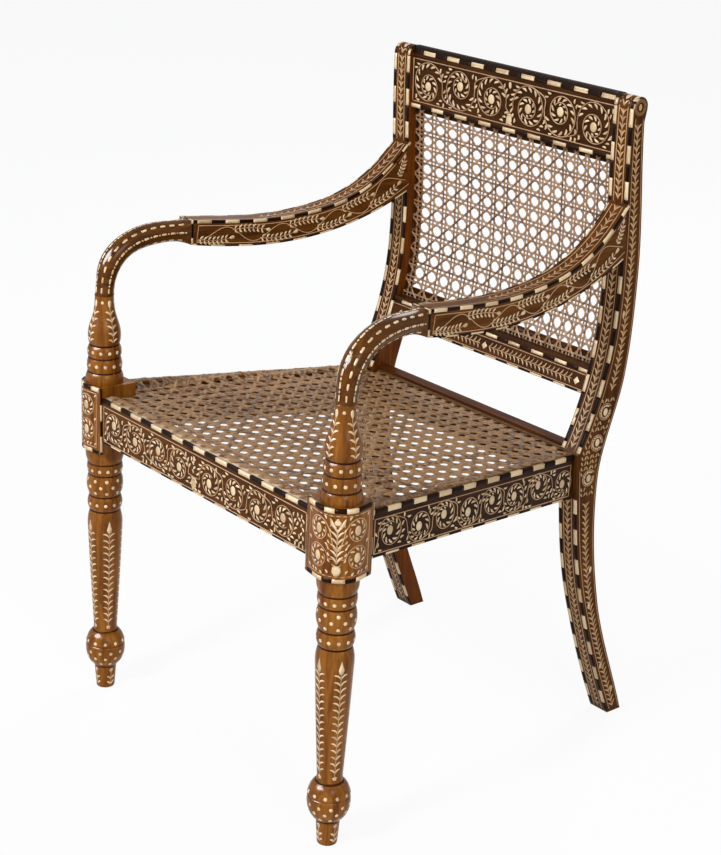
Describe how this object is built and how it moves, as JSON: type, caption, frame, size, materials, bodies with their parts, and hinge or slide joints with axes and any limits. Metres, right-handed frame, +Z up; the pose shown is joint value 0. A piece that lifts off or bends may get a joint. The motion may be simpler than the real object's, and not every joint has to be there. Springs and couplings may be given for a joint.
{
  "type": "open armchair",
  "caption": "Open armchair in inlaid hardwood with turned front legs, swan-neck arms, sabre rear legs, and a caned seat and back.",
  "frame": {"origin": "on the floor, in the middle of the chair's overall footprint", "axes": "+Z up, -Y the way the chair faces, +X the sitter's left"},
  "size_m": [0.5756, 0.5982, 0.898],
  "materials": {
    "inlaid_hardwood": "dark oiled hardwood ground, closely inlaid with bone and ebony",
    "turned_hardwood": "golden brown turned hardwood, polished, with small bone inlays",
    "plain_hardwood": "plain brown hardwood, polished",
    "cane": "six-way woven rattan cane, aged brown",
    "bone_and_ebony": "polished bone with ebony",
    "steel": "plain steel screws"
  },
  "bodies": {
    "root": {"front_leg_left": "turned_hardwood", "arm_support_left": "turned_hardwood", "arm_elbow_left": "turned_hardwood", "arm_collar_left": "bone_and_ebony", "arm_left": "inlaid_hardwood", "rear_post_left": "inlaid_hardwood", "side_seat_rail_left": "inlaid_hardwood", "front_leg_right": "turned_hardwood", "arm_support_right": "turned_hardwood", "arm_elbow_right": "turned_hardwood", "arm_collar_right": "bone_and_ebony", "arm_right": "inlaid_hardwood", "rear_post_right": "inlaid_hardwood", "side_seat_rail_right": "inlaid_hardwood", "front_seat_rail": "inlaid_hardwood", "rear_seat_rail": "plain_hardwood", "crest_rail": "inlaid_hardwood", "lower_back_rail": "inlaid_hardwood", "seat_cane": "cane", "seat_cane_binding": "cane", "back_cane": "cane", "back_cane_binding": "cane", "arm_dowels": "plain_hardwood", "arm_screws": "steel", "arm_screw_plugs": "plain_hardwood", "seat_rail_pegs": "plain_hardwood", "back_rail_pegs": "plain_hardwood"}
  },
  "joints": []
}
